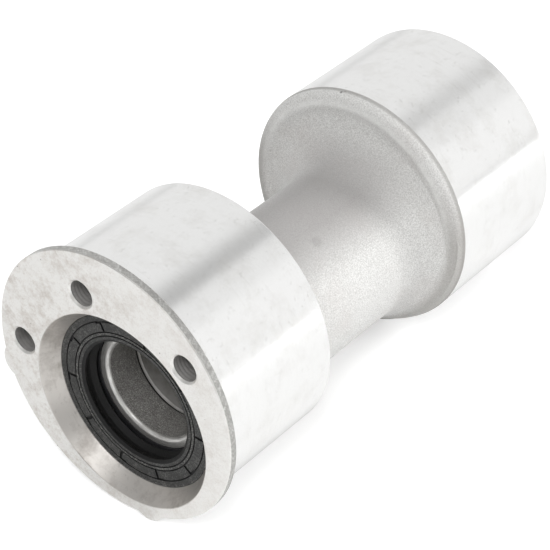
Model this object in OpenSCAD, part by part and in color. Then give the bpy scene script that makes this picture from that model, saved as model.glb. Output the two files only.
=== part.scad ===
// Eccentric axle bearing carrier: a cast aluminium body with two machined journals and an off-centre bore,
// and in the bore two ball bearings, a spacer tube between them and a lip seal outside each.
// Frame: the origin is on the journals' axis, in the plane of the flange's shoulder. +Y runs along the
// journals to the far end and +Z is up as the part lies. Angles are measured from +X towards +Z.

/* [Journals] */
// Diameter of both machined journals
journal_d = 88; // [86:0.5:94]
// Length of the near journal, from the flange's shoulder to its machined edge
near_journal_l = 49; // [40:1:60]
// Distance between the machined edges of the two journals
journal_gap = 73; // [60:1:100]
// Length of the far journal
far_journal_l = 50; // [40:1:60]
// Chamfer round the far journal's outer end
far_chamfer = 1; // [0.5:0.1:1.5]

/* [Inner ends of the journals] */
// Radius that rounds the casting over from the far journal's machined edge to the rim's crest
far_rim_r = 4; // [3:0.5:5]
// The same for the near journal, which is machined almost to its end
near_rim_r = 0.6; // [0.3:0.1:1]
// Radius on the inner side of the rim's crest
rim_inner_r = 8; // [6:0.5:10]
// Depth of the dish inside the crest
dish_depth = 0.8; // [0.5:0.1:1.5]
// Radius of the fillet that leads from the crest down into the dish
dish_fillet_r = 12; // [8:0.5:16]
// Radius of the fillet between the waist tube and the dish
flare_r = 14.5; // [10:0.5:18]
// How deep that fillet dips under the dish, so that the two meet in an edge
flare_dip = 0.1; // [0.05:0.05:0.3]
// Radius with which that fillet runs out over the journal's edge on the thin side
runout_r = 8; // [6:0.5:9]
// How far the runout stays inside the machined journals
runout_step = 0.05; // [0.05:0.05:0.5]
// Outer diameter of the waist tube
waist_d = 55; // [54:0.5:58]

/* [Flange] */
// How far the flange lip stands out past the journal
flange_lip = 3.6; // [3:0.1:8]
// Thickness of the flange lip
flange_t = 2.8; // [2:0.1:5]
// Chamfer on the lip's two edges
flange_chamfer = 0.3; // [0.1:0.1:0.6]
// Angles of the two round lugs on the lip
lug_angles = [196.3, 286.3];
// Radius of a lug's round outline
lug_r = 6.5; // [4:0.5:8]
// How far a lug reaches past the lip
lug_reach = 2.1; // [1:0.1:3]

/* [Bore] */
// Wall left between the seat and the journal's outside, on the side the bore's axis is moved to
thin_wall = 4; // [3.5:0.1:6]
// Direction of the bore's axis from the journals' axis
eccentric_angle = -71; // [-180:1:180]
// Diameter of the seat that both bearings and both seals are pressed into
seat_d = 62; // [61.6:0.1:62.6]
// How far the near mouth opens past the seat, on the radius, at the flange's face
mouth_flare = 3.6; // [2:0.1:4]
// Depth of the near mouth's cone, which ends at the seal
mouth_depth = 6.2; // [4:0.1:9]
// Depth of the far seal under the journal's end face
far_seal_depth = 3; // [1.5:0.1:5]
// Lead-in chamfer at the far mouth
far_lead = 1; // [0.5:0.1:1.4]
// Gap on the radius between the spacer tube and the cored bore round it
core_gap = 2; // [1.4:0.1:3]

/* [Threaded holes] */
// Diameter of the circle, round the bore's axis, on which the holes lie
hole_circle_d = 83; // [81:0.5:84]
// Angles of the three holes
hole_angles = [49.5, 109.5, 169.5];
// Wall diameter of a hole
hole_d = 8.8; // [6:0.1:9]
// Depth of a hole's wall, under the flange's face
hole_depth = 20; // [12:1:30]
// Diameter of the chamfer at a hole's mouth
hole_mouth_d = 10.2; // [9.4:0.1:10.6]

/* [Bearings] */
// Bore of the inner ring
bearing_bore = 35; // [34.6:0.1:35.4]
// Width of the rings
bearing_w = 14; // [13.6:0.1:16]
// Diameter of a ball
ball_d = 7.94; // [7.8:0.02:8.04]
// Number of balls
ball_count = 11; // [8:1:11]
// Depth of the inner ring's ball groove under its shoulders
inner_groove_depth = 1.65; // [1.4:0.05:1.75]
// How far the inner ring's lands lie under its shoulders
inner_step = 0.9; // [0.7:0.1:1.2]
// Depth of the outer ring's ball groove under its shoulders
outer_groove_depth = 1.55; // [1.3:0.05:1.75]
// Depth of the outer ring's recesses under its shoulders, which hold the shields
recess_depth = 1.3; // [1:0.1:1.6]
// Radius of the rings' corners
ring_corner = 1.5; // [0.8:0.1:1.6]
// Width of a land or recess
land_w = 2.1; // [1.9:0.05:2.2]
// Thickness of a shield at its rim
shield_t = 1.4; // [1:0.1:1.5]
// Thickness of a shield's web
shield_web_t = 1; // [0.8:0.05:1.1]
// Radial width of a shield's thick rim
shield_rim_w = 1.2; // [1:0.1:1.4]
// Radial width of a shield's lip
shield_lip_w = 0.8; // [0.6:0.1:1]
// Bevels on a shield's edges
shield_bevel = 0.2; // [0.1:0.05:0.3]
// Depth of a shield's face under the rings' faces
shield_depth = 0.3; // [0.2:0.05:0.4]
// Thickness of the cage's sheet
cage_t = 0.8; // [0.6:0.05:0.85]
// Radial width of the cage's ribbon
cage_w = 3.4; // [3:0.1:3.8]
// Diameter of a cage rivet's shank
rivet_d = 1.3; // [1:0.1:1.5]
// Diameter of a cage rivet's heads
rivet_head_d = 2.2; // [1.9:0.1:2.6]

/* [Spacer tube] */
// Outer diameter of the spacer tube
spacer_d = 42; // [41:0.1:42.4]
// Bore of the spacer tube
spacer_bore = 35.8; // [35.6:0.1:37]
// Chamfer on the spacer tube's edges
spacer_chamfer = 0.6; // [0.3:0.1:1]

/* [Seals] */
// Width of a seal
seal_w = 7; // [6.8:0.1:8]
// Inner diameter of the sealing lip
main_lip_d = 41.6; // [41:0.1:42]
// How far the edge that shows at the seal's face stays outside the sealing lip
dust_lip_step = 0.4; // [0.2:0.1:0.8]
// Thickness of the sealing lip where it bends
lip_t = 1.4; // [1.2:0.1:1.6]
// Width of the flat end that the sealing lip has behind its edge
lip_end_w = 0.8; // [0.6:0.1:1]
// How far the sealing lip and its spring's groove stay inside the seal's back
lip_short = 0.4; // [0.2:0.1:0.6]
// Bevel on the seal's outer edges
seal_bevel = 0.3; // [0.2:0.1:0.5]
// Radial width of the bevel that leads into the dust lip
dust_bevel_w = 1.1; // [0.9:0.1:1.3]
// Depth of that bevel
dust_bevel_h = 0.7; // [0.5:0.1:0.8]
// Axial width of the dust lip's inner edge
dust_edge_w = 0.5; // [0.3:0.1:0.8]
// Thickness of the rubber over the case's outside
seal_skin = 0.8; // [0.5:0.1:1]
// Thickness of the rubber over the case's face
seal_face_t = 1.3; // [1:0.1:1.5]
// Thickness of the steel case
case_t = 1; // [0.8:0.1:1.2]
// Distance on the radius from the edge that shows to the ridge on the face
ridge_step = 2.1; // [1.8:0.1:2.6]
// Distance on the radius from that ridge to the face's slotted band
band_step = 1.7; // [1.4:0.1:2.2]
// Radial width of the plain band outside the slotted one
plain_band_w = 2.7; // [2:0.1:3.5]
// Width of the fine ring grooves on the face
groove_w = 0.4; // [0.3:0.05:0.5]
// Depth of the ring grooves and the slots
groove_depth = 0.5; // [0.2:0.1:0.8]
// Width of a slot in the slotted band
slot_w = 0.5; // [0.3:0.05:0.8]
// Angles of the slots in the band
slot_angles = [0, 38, 77, 116, 151.5, 186, 221, 255, 288.5, 324];
// How far the case's face reaches inside the slotted band
case_reach = 0.6; // [0.4:0.1:0.8]
// Diameter of the garter spring's coil
spring_d = 1.4; // [1.2:0.1:1.5]
// Distance from the lip's back to the middle of the garter spring
spring_cover = 1.2; // [1:0.1:1.4]
// How far the middle of the spring lies outside the lip's back
spring_proud = 0.1; // [0:0.05:0.3]

/* [Fits] */
// Gap on the radius at a pressed or bonded seat
press_gap = 0.02; // [0.01:0.01:0.03]
// Gap between a ball and the rings' grooves
ball_gap = 0.03; // [0.02:0.01:0.05]
// Gap between a ball and its pocket in the cage
pocket_gap = 0.1; // [0.05:0.01:0.12]
// Gap between a shield and the turning inner ring
run_gap = 0.4; // [0.3:0.05:0.5]
// Gap between a seal and the bearing behind it
seal_gap = 0.3; // [0.3:0.1:1]

/* [Hidden] */
$fn = 120;
// How far a cut passes the face it starts at, and how far joined shapes of one solid reach into each other
past = 1;
eps = 0.01;
// Turns that lay what is drawn along +Z inwards from the near end and from the far end
near_turn = -90;
far_turn = 90;

// Places along the journals' axis
face_y = -flange_t;
far_edge_y = near_journal_l + journal_gap;
end_y = far_edge_y + far_journal_l;
near_seal_y = face_y + mouth_depth;
near_bearing_y = near_seal_y + seal_w + seal_gap;
near_stop_y = near_bearing_y + bearing_w;
far_seal_y = end_y - far_seal_depth;
far_bearing_y = far_seal_y - seal_w - seal_gap;
far_stop_y = far_bearing_y - bearing_w;
near_dish_y = near_journal_l + near_rim_r - dish_depth;
far_dish_y = far_edge_y - far_rim_r + dish_depth;

// Radii and places that several pieces share
journal_r = journal_d / 2;
flange_r = journal_r + flange_lip;
waist_r = waist_d / 2;
seat_r = seat_d / 2;
pressed_r = seat_r - press_gap;
mouth_r = seat_r + mouth_flare;
core_r = spacer_d / 2 + core_gap;
eccentricity = journal_r - seat_r - thin_wall;
bore_x = eccentricity * cos(eccentric_angle);
bore_z = eccentricity * sin(eccentric_angle);
bore_r = bearing_bore / 2;
ball_r = ball_d / 2;
raceway_r = ball_r + ball_gap;
pocket_r = ball_r + pocket_gap;
pitch_r = (bearing_bore + seat_d) / 4;
pitch_step = 360 / ball_count;
inner_shoulder_r = pitch_r - raceway_r + inner_groove_depth;
inner_land_r = inner_shoulder_r - inner_step;
outer_shoulder_r = pitch_r + raceway_r - outer_groove_depth;
outer_land_r = outer_shoulder_r + recess_depth;
ribbon_inner_r = pitch_r - cage_w / 2;
ribbon_outer_r = pitch_r + cage_w / 2;
main_lip_r = main_lip_d / 2;
dust_lip_r = main_lip_r + dust_lip_step;
ridge_r = dust_lip_r + ridge_step;
band_inner_r = ridge_r + band_step;
band_outer_r = seat_r - plain_band_w;
case_outer_r = pressed_r - seal_skin;
case_inner_r = band_inner_r - case_reach;
spring_r = spring_d / 2;
lip_back_r = ridge_r - groove_w;
spring_y = seal_w - lip_short - spring_cover;
spring_place_r = lip_back_r + spring_proud;

// Lays children, drawn along +Z from the plane at y, along the journals' axis or the axis at [x, z]
module lay(turn, y, x = 0, z = 0) translate([x, y, z]) rotate([turn, 0, 0]) children();

// The same along the bore's axis
module lay_in_bore(turn, y) lay(turn, y, bore_x, bore_z) children();

// Lays children at an angle and a radius round an axis, pointing inwards from the near side
module lay_round(angle, radius, y, x = 0, z = 0)
    lay(near_turn, y, x + radius * cos(angle), z + radius * sin(angle)) children();

// What a round corner takes off an outline at [x, y]; turn 0 is a lower left corner
module corner_waste(x, y, r, turn)
    translate([x, y]) rotate(turn) difference() {
        translate([-past, -past]) square(r + past);
        translate([r, r]) circle(r);
    }

// A disc with both edges chamfered
module chamfered_disc(r, t, c)
    rotate_extrude() polygon([[0, 0], [r - c, 0], [r, c], [r, t - c], [r - c, t], [0, t]]);

// Half outline of a journal: its machined length, the rounded rim past it and the dish in the rim
module journal_outline(length, rim_r) {
    crest_r = journal_r - rim_r;
    crest_y = length + rim_r;
    dish_y = crest_y - dish_depth;
    reach = rim_inner_r + dish_fillet_r;
    climb = reach - dish_depth;
    run = sqrt(reach * reach - climb * climb);
    foot_r = crest_r - run;
    meet_r = crest_r - run * rim_inner_r / reach;
    meet_y = crest_y - rim_inner_r + climb * rim_inner_r / reach;
    square([crest_r + eps, dish_y]);
    translate([crest_r, 0]) square([rim_r, length]);
    intersection() {
        translate([crest_r, length]) circle(rim_r);
        translate([crest_r, 0]) square([journal_r, crest_y]);
    }
    intersection() {
        translate([crest_r, crest_y - rim_inner_r]) circle(rim_inner_r);
        translate([meet_r, dish_y - eps]) square([crest_r - meet_r + eps, dish_depth + eps]);
    }
    difference() {
        translate([foot_r, dish_y - eps]) square([meet_r - foot_r + eps, meet_y - dish_y + eps]);
        translate([foot_r, dish_y + dish_fillet_r]) circle(dish_fillet_r);
    }
}

// Half outline, round the bore's axis, of the waist tube with the fillets that spread into both dishes
module waist_outline() {
    near_y = near_dish_y + flare_r - flare_dip;
    far_y = far_dish_y - flare_r + flare_dip;
    difference() {
        translate([0, near_journal_l - 3 * past])
            square([waist_r + flare_r, far_edge_y - near_journal_l + 6 * past]);
        translate([waist_r, near_y]) square([2 * flare_r, far_y - near_y]);
        translate([waist_r + flare_r, near_y]) circle(flare_r);
        translate([waist_r + flare_r, far_y]) circle(flare_r);
    }
}

// Half outline, round the journals' axis, that the waist's fillets stay inside
module runout_outline() {
    centre_r = journal_r - runout_r - runout_step;
    waist_limit_r = centre_r + runout_r * cos(45);
    translate([0, near_journal_l - 4 * past])
        square([waist_limit_r, far_edge_y - near_journal_l + 8 * past]);
    translate([centre_r, near_journal_l]) circle(runout_r);
    translate([centre_r, far_edge_y]) circle(runout_r);
}

// The flange lip with its two lugs
module flange() {
    lay(near_turn, face_y) chamfered_disc(flange_r, flange_t, flange_chamfer);
    for (angle = lug_angles)
        lay_round(angle, flange_r + lug_reach - lug_r, face_y) chamfered_disc(lug_r, flange_t, flange_chamfer);
}

// One threaded hole with its chamfered mouth and its drilled point
module threaded_hole() {
    hole_r = hole_d / 2;
    mouth = hole_mouth_d / 2;
    translate([0, 0, -past]) cylinder(h = hole_depth + past, r = hole_r);
    translate([0, 0, -past]) cylinder(h = mouth - hole_r + past, r1 = mouth + past, r2 = hole_r);
    translate([0, 0, hole_depth]) cylinder(h = hole_r * tan(31), r1 = hole_r, r2 = 0);
}

// Half outline of everything that is bored out on the bore's axis, from the near mouth to the far one
module bore_outline() {
    slope = (mouth_r - seat_r) / mouth_depth;
    polygon([
        [0, face_y - past], [mouth_r + slope * past, face_y - past], [seat_r, near_seal_y],
        [seat_r, near_stop_y], [core_r, near_stop_y], [core_r, far_stop_y], [seat_r, far_stop_y],
        [seat_r, end_y - far_lead], [seat_r + far_lead + past, end_y + past], [0, end_y + past]
    ]);
}

module carrier() color("gainsboro") difference() {
    union() {
        flange();
        lay(near_turn, face_y / 2) rotate_extrude() journal_outline(near_journal_l - face_y / 2, near_rim_r);
        lay(far_turn, end_y) rotate_extrude() difference() {
            journal_outline(far_journal_l, far_rim_r);
            translate([journal_r, 0]) rotate(45) square(far_chamfer * sqrt(2), center = true);
        }
        intersection() {
            lay_in_bore(near_turn, 0) rotate_extrude() waist_outline();
            lay(near_turn, 0) rotate_extrude() runout_outline();
        }
    }
    lay_in_bore(near_turn, 0) rotate_extrude() bore_outline();
    for (angle = hole_angles) lay_round(angle, hole_circle_d / 2, face_y, bore_x, bore_z) threaded_hole();
}

module spacer_tube() color("dimgray") {
    length = far_stop_y - near_stop_y;
    inner = spacer_bore / 2;
    outer = spacer_d / 2;
    c = spacer_chamfer;
    lay_in_bore(near_turn, near_stop_y) rotate_extrude() polygon([
        [inner + c, 0], [outer - c, 0], [outer, c], [outer, length - c],
        [outer - c, length], [inner + c, length], [inner, length - c], [inner, c]
    ]);
}

// Half outline of the inner ring: bore, lands, shoulders and ball groove
module inner_ring_outline() difference() {
    union() {
        translate([bore_r, 0]) square([inner_land_r - bore_r, bearing_w]);
        translate([bore_r, land_w]) square([inner_shoulder_r - bore_r, bearing_w - 2 * land_w]);
    }
    corner_waste(bore_r, 0, ring_corner, 0);
    corner_waste(bore_r, bearing_w, ring_corner, -90);
    translate([pitch_r, bearing_w / 2]) circle(raceway_r);
}

// Half outline of the outer ring: outside, shoulders, shield recesses and ball groove
module outer_ring_outline() difference() {
    translate([outer_shoulder_r, 0]) square([pressed_r - outer_shoulder_r, bearing_w]);
    translate([0, -past]) square([outer_land_r, land_w + past]);
    translate([0, bearing_w - land_w]) square([outer_land_r, land_w + past]);
    corner_waste(pressed_r, 0, ring_corner, 90);
    corner_waste(pressed_r, bearing_w, ring_corner, 180);
    translate([pitch_r, bearing_w / 2]) circle(raceway_r);
}

// Half outline of a shield, whose face is at 0: a thick rim, a thin web and a lip at the inner ring's land
module shield_outline() {
    rim = outer_land_r - press_gap;
    lip = inner_land_r + run_gap;
    polygon([
        [lip, shield_bevel], [lip + shield_bevel, 0], [rim - shield_bevel, 0], [rim, shield_bevel],
        [rim, shield_t - shield_bevel], [rim - shield_bevel, shield_t], [rim - shield_rim_w, shield_t],
        [rim - shield_rim_w - 2 * shield_bevel, shield_web_t],
        [lip + shield_lip_w + 2 * shield_bevel, shield_web_t],
        [lip + shield_lip_w, shield_t], [lip, shield_t]
    ]);
}

// Puts children at every ball
module each_ball() for (i = [0:ball_count - 1]) rotate(i * pitch_step) translate([pitch_r, 0, 0]) children();

// Puts children midway between the balls
module between_balls() rotate(pitch_step / 2) each_ball() children();

// One half of the ribbon cage, above its joint plane: flat lands with a round pocket over each ball
module cage_half() intersection() {
    difference() {
        cylinder(h = pocket_r + cage_t + past, r = ribbon_outer_r);
        translate([0, 0, -past]) cylinder(h = pocket_r + cage_t + 3 * past, r = ribbon_inner_r);
    }
    difference() {
        union() {
            cylinder(h = cage_t, r = ribbon_outer_r + past);
            each_ball() sphere(pocket_r + cage_t);
        }
        each_ball() sphere(pocket_r);
        between_balls() cylinder(h = 4 * cage_t, r = rivet_d / 2 + press_gap, center = true);
    }
}

// One cage rivet: a shank through both halves and a low head on each
module rivet() {
    head_h = rivet_head_d / 5;
    cylinder(h = 2 * cage_t + 2 * eps, r = rivet_d / 2, center = true);
    for (side = [0, 180]) rotate([side, 0, 0]) translate([0, 0, cage_t])
        cylinder(h = head_h, r1 = rivet_head_d / 2, r2 = rivet_head_d / 3);
}

// Half outline of the seal's rubber, whose face is at 0: outside, face, dust lip and spring-loaded lip
module seal_outline() {
    web_back = seal_face_t + case_t;
    lip_back = seal_w - lip_short;
    bend_r = main_lip_r + lip_t;
    dust_edge = dust_bevel_h + dust_edge_w;
    difference() {
        polygon([
            [pressed_r - seal_bevel, 0], [pressed_r, seal_bevel], [pressed_r, seal_w - 2 * seal_bevel],
            [pressed_r - seal_bevel, seal_w], [case_outer_r, seal_w], [case_outer_r, seal_face_t],
            [case_inner_r, seal_face_t], [case_inner_r, web_back], [lip_back_r, web_back + lip_short],
            [lip_back_r, lip_back], [lip_back_r - lip_end_w, lip_back], [main_lip_r, spring_y],
            [bend_r, web_back + lip_t], [bend_r, web_back], [dust_lip_r, dust_edge],
            [dust_lip_r, dust_bevel_h], [dust_lip_r + dust_bevel_w, 0], [band_inner_r, 0]
        ]);
        for (r = [band_outer_r, band_inner_r - groove_w, ridge_r])
            translate([r, -past]) square([groove_w, groove_depth + past]);
        translate([spring_place_r, spring_y]) circle(spring_r + press_gap);
    }
}

// The seal's rubber with the slots in its face; hand is -1 where the lay turns the angles over
module seal_rubber(hand) difference() {
    rotate_extrude() seal_outline();
    for (angle = slot_angles) rotate(hand * angle)
        translate([band_inner_r - eps, -slot_w / 2, -past])
            cube([band_outer_r - band_inner_r + 2 * eps, slot_w, groove_depth + past]);
}

// Half outline of the steel case inside the rubber, an angle ring
module case_outline() {
    outer = case_outer_r - press_gap;
    inner = case_inner_r + press_gap;
    front = seal_face_t + press_gap;
    translate([outer - case_t, front]) square([case_t, seal_w - front - seal_bevel]);
    translate([inner, front]) square([outer - inner, case_t]);
}

// A rotate_extrude with a colour, for the pieces that are plain rings
module ring(paint) color(paint) rotate_extrude() children();

// The pieces of a seal, drawn with the seal's face at 0
module seal_case() ring("lightslategray") case_outline();
module garter_spring() ring("silver") translate([spring_place_r, spring_y]) circle(spring_r);

// The pieces of a bearing, drawn with its outer face at 0
module outer_ring() ring("slategray") outer_ring_outline();
module inner_ring() ring("lightgray") inner_ring_outline();
module balls() color("white") translate([0, 0, bearing_w / 2]) each_ball() sphere(ball_r);
module cage_front() color("darkgoldenrod") translate([0, 0, bearing_w / 2]) rotate([180, 0, 0]) cage_half();
module cage_back() color("goldenrod") translate([0, 0, bearing_w / 2]) cage_half();
module cage_rivets() color("peru") translate([0, 0, bearing_w / 2]) between_balls() rivet();
module outer_shield() translate([0, 0, shield_depth]) ring("#1c1c1c") shield_outline();
module inner_shield() translate([0, 0, bearing_w - shield_depth]) rotate([180, 0, 0])
    ring("#1c1c1c") shield_outline();

// The four places that those pieces take
module in_near_seal() lay_in_bore(near_turn, near_seal_y) children();
module in_far_seal() lay_in_bore(far_turn, far_seal_y) children();
module in_near_bearing() lay_in_bore(near_turn, near_bearing_y) children();
module in_far_bearing() lay_in_bore(far_turn, far_bearing_y) children();

carrier();
spacer_tube();

in_near_seal() seal_rubber(-1);  // near_seal_rubber
in_near_seal() seal_case();  // near_seal_case
in_near_seal() garter_spring();  // near_garter_spring
in_near_bearing() outer_ring();  // near_outer_ring
in_near_bearing() inner_ring();  // near_inner_ring
in_near_bearing() balls();  // near_balls
in_near_bearing() cage_front();  // near_cage_front
in_near_bearing() cage_back();  // near_cage_back
in_near_bearing() cage_rivets();  // near_cage_rivets
in_near_bearing() outer_shield();  // near_outer_shield
in_near_bearing() inner_shield();  // near_inner_shield

in_far_seal() seal_rubber(1);  // far_seal_rubber
in_far_seal() seal_case();  // far_seal_case
in_far_seal() garter_spring();  // far_garter_spring
in_far_bearing() outer_ring();  // far_outer_ring
in_far_bearing() inner_ring();  // far_inner_ring
in_far_bearing() balls();  // far_balls
in_far_bearing() cage_front();  // far_cage_front
in_far_bearing() cage_back();  // far_cage_back
in_far_bearing() cage_rivets();  // far_cage_rivets
in_far_bearing() outer_shield();  // far_outer_shield
in_far_bearing() inner_shield();  // far_inner_shield
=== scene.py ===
"""Looks of an eccentric axle bearing carrier: an aluminium body with ball bearings, a tube and lip seals.

Everything is in metres in the part's own frame: the origin is on the drums' axis, in the plane of the flange's
shoulder, +Y runs along the drums to the far end and +Z is up. Sizes in the classes are in millimetres.
"""

from __future__ import annotations

import logging
import math
from dataclasses import dataclass, field
from enum import Enum
from typing import Any, Callable, Sequence

import bpy
from bpy.types import Material, Node, NodeSocket, NodeTree, Object
from mathutils import Matrix, Vector

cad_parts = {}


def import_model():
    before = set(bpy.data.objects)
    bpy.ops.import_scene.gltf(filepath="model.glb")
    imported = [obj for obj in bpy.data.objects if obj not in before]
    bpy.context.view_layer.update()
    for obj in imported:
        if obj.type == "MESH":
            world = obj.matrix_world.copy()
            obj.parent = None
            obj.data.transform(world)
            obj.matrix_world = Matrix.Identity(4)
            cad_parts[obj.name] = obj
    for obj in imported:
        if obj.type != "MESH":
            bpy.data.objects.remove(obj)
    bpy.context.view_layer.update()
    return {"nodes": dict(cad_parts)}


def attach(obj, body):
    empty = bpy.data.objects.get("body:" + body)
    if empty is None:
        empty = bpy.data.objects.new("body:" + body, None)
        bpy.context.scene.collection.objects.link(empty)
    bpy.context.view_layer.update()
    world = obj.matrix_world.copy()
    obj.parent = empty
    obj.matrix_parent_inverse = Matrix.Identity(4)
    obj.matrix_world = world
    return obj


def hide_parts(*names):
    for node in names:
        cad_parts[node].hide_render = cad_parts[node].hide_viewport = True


LOG = logging.getLogger("axle_carrier")
MM = 0.001
FULL_TURN = 2 * math.pi
Outline = list[tuple[float, float]]


# ---- modelling by operators ----


class Way(Enum):
    """Which way an outline's length runs along the axis that it is turned about."""

    TOWARDS_FAR_END = 1
    TOWARDS_NEAR_END = -1


class Join(Enum):
    """How a tool solid acts on a piece."""

    ADD = "UNION"
    CUT = "DIFFERENCE"
    KEEP_SHARED = "INTERSECT"


@dataclass(frozen=True)
class Seat:
    """A place on an axis parallel to the drums', which outlines are measured from, in mm.

    Attributes:
        x, z: Where the axis lies.
        y: Where the outline's length starts.
        way: Which way that length runs.
    """

    x: float = 0.0
    z: float = 0.0
    y: float = 0.0
    way: Way = Way.TOWARDS_FAR_END

    def place(self, radius: float, length: float, angle: float = 0.0) -> Vector:
        """Gives the point at a radius, a length and an angle in degrees from +X, in metres."""
        turn = math.radians(angle)
        return Vector((
            self.x + radius * math.cos(turn),
            self.y + self.way.value * length,
            self.z + radius * math.sin(turn),
        )) * MM

    def radius(self, point: Vector) -> float:
        """Gives the distance of a point in mm from the axis."""
        return math.hypot(point.x - self.x, point.z - self.z)


@dataclass(frozen=True)
class Corner:
    """A corner of an outline: distance from the axis, place along it and rounding radius, in mm."""

    radius: float
    length: float
    rounding: float = 0.0


def rounded(table: Sequence[tuple[float, ...]], steps: int) -> Outline:
    """Rounds the corners of a closed outline.

    Args:
        table: The values of each corner, in order.
        steps: How many straight pieces a rounding gets.

    Returns:
        The points of the rounded outline.
    """
    points: Outline = []
    corners = [Corner(*values) for values in table]
    for i, corner in enumerate(corners):
        here = Vector((corner.radius, corner.length))
        if not corner.rounding:
            points.append(tuple(here))
            continue
        before, after = corners[i - 1], corners[(i + 1) % len(corners)]
        back = (Vector((before.radius, before.length)) - here).normalized()
        ahead = (Vector((after.radius, after.length)) - here).normalized()
        half = back.angle(ahead) / 2
        centre = here + (back + ahead).normalized() * corner.rounding / math.sin(half)
        start = here + back * corner.rounding / math.tan(half) - centre
        end = here + ahead * corner.rounding / math.tan(half) - centre
        first = math.atan2(start.y, start.x)
        last = first + math.remainder(math.atan2(end.y, end.x) - first, FULL_TURN)
        points += arc(centre.x, centre.y, corner.rounding, math.degrees(first), math.degrees(last), steps)
    return points


def arc(radius: float, length: float, bend: float, first: float, last: float, steps: int) -> Outline:
    """Gives the points of an arc in an outline, both ends included.

    Args:
        radius: The arc centre's distance from the axis, mm.
        length: The arc centre's place along the axis, mm.
        bend: The arc's own radius, mm.
        first: The angle it starts at, degrees, 0 pointing away from the axis and 90 along it.
        last: The angle it ends at, degrees.
        steps: How many straight pieces it gets.
    """
    turns = [math.radians(first + (last - first) * k / steps) for k in range(steps + 1)]
    return [(radius + bend * math.cos(t), length + bend * math.sin(t)) for t in turns]


def only(piece: Object) -> None:
    """Selects one object alone and makes it the active one."""
    bpy.ops.object.select_all(action="DESELECT")
    piece.select_set(True)
    bpy.context.view_layer.objects.active = piece


def settle(piece: Object) -> None:
    """Moves a piece's place, turn and scale into its mesh, so that its origin is at 0."""
    only(piece)
    bpy.ops.object.transform_apply(location=True, rotation=True, scale=True)


def primitive(name: str, operator: Callable[..., Any], **settings: Any) -> Object:
    """Adds a primitive by its operator with these settings, so that it is selected alone, and names it."""
    bpy.ops.object.select_all(action="DESELECT")
    operator(**settings)
    made = bpy.context.object
    made.name = made.data.name = name
    return made


def chain(name: str, points: Sequence[Vector], closed: bool = True) -> Object:
    """Draws a chain of edges through points in metres and leaves it in edit mode, all selected."""
    made = primitive(name, bpy.ops.mesh.primitive_plane_add, size=MM, location=points[0])
    bpy.ops.object.mode_set(mode="EDIT")
    bpy.ops.mesh.select_all(action="SELECT")
    bpy.ops.mesh.merge(type="CENTER")
    for before, after in zip(points, [*points[1:], *(points[:1] if closed else [])]):
        bpy.ops.mesh.extrude_region_move(TRANSFORM_OT_translate={"value": after - before})
    bpy.ops.mesh.select_all(action="SELECT")
    return made


def turned(name: str, outline: Outline, seat: Seat, steps: int = 144, closed: bool = False) -> Object:
    """Spins an outline into a solid.

    Args:
        name: The new object's name.
        outline: Points as (radius, length) in mm.
        seat: The axis and place that the outline is measured from.
        steps: How many faces go round.
        closed: Whether the outline's last point joins its first; if not, both lie on the axis.

    Returns:
        The new object, at the origin, with its place in its mesh.
    """
    made = chain(name, [seat.place(*point) for point in outline], closed)
    bpy.ops.mesh.spin(steps=steps, angle=FULL_TURN, center=seat.place(0, 0), axis=(0, 1, 0))
    close_up(made)
    return made


def close_up(piece: Object) -> None:
    """Merges what lies on one point, closes open ends, turns all faces outwards and moves the origin to 0."""
    bpy.ops.mesh.select_all(action="SELECT")
    bpy.ops.mesh.remove_doubles(threshold=0.002 * MM)
    bpy.ops.mesh.select_all(action="DESELECT")
    bpy.ops.mesh.select_non_manifold()
    bpy.ops.mesh.fill_holes(sides=0)
    bpy.ops.mesh.select_all(action="SELECT")
    bpy.ops.mesh.normals_make_consistent(inside=False)
    bpy.ops.object.mode_set(mode="OBJECT")
    settle(piece)


def modify(piece: Object, kind: str, **settings: Any) -> None:
    """Gives a piece a modifier of a kind with these settings and applies it."""
    only(piece)
    modifier = piece.modifiers.new(kind.lower(), kind)
    for key, value in settings.items():
        setattr(modifier, key, value)
    bpy.ops.object.modifier_apply(modifier=modifier.name)


def work(piece: Object, tool: Object, join: Join) -> None:
    """Adds, cuts or keeps a tool solid's shape and removes the tool."""
    modify(piece, "BOOLEAN", object=tool, operation=join.value, solver="EXACT")
    bpy.data.objects.remove(tool)


def joined(pieces: Sequence[Object]) -> Object:
    """Makes several objects one, which keeps the first one's name."""
    only(pieces[0])
    for piece in pieces:
        piece.select_set(True)
    bpy.ops.object.join()
    return pieces[0]


def smoothed(piece: Object, angle: float = 30.0) -> None:
    """Shades a piece smooth up to an edge angle in degrees, with wide faces kept flat."""
    only(piece)
    bpy.ops.object.shade_smooth_by_angle(angle=math.radians(angle))
    modify(piece, "WEIGHTED_NORMAL", keep_sharp=True, mode="FACE_AREA", weight=80)


# ---- finishes ----


def linear(colour: str) -> tuple[float, float, float, float]:
    """Turns an sRGB hex colour such as "#a0a0a0" into linear values with alpha."""
    parts = [int(colour[i:i + 2], 16) / 255 for i in (1, 3, 5)]
    return (*[c / 12.92 if c <= 0.04045 else ((c + 0.055) / 1.055) ** 2.4 for c in parts], 1.0)


def add(tree: NodeTree, kind: str, inputs: dict[Any, Any] | None = None, **settings: Any) -> Any:
    """Adds one node to a tree.

    Args:
        tree: The material's or world's node tree.
        kind: The node's type name after ShaderNode.
        inputs: What its inputs get, by name or place: a number, a hex colour, a Value or a socket.
        settings: The node's own properties.

    Returns:
        The new node.
    """
    made = tree.nodes.new(f"ShaderNode{kind}")
    for key, value in settings.items():
        setattr(made, key, value)
    for key, value in (inputs or {}).items():
        feed(made.inputs[key], value)
    return made


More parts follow.
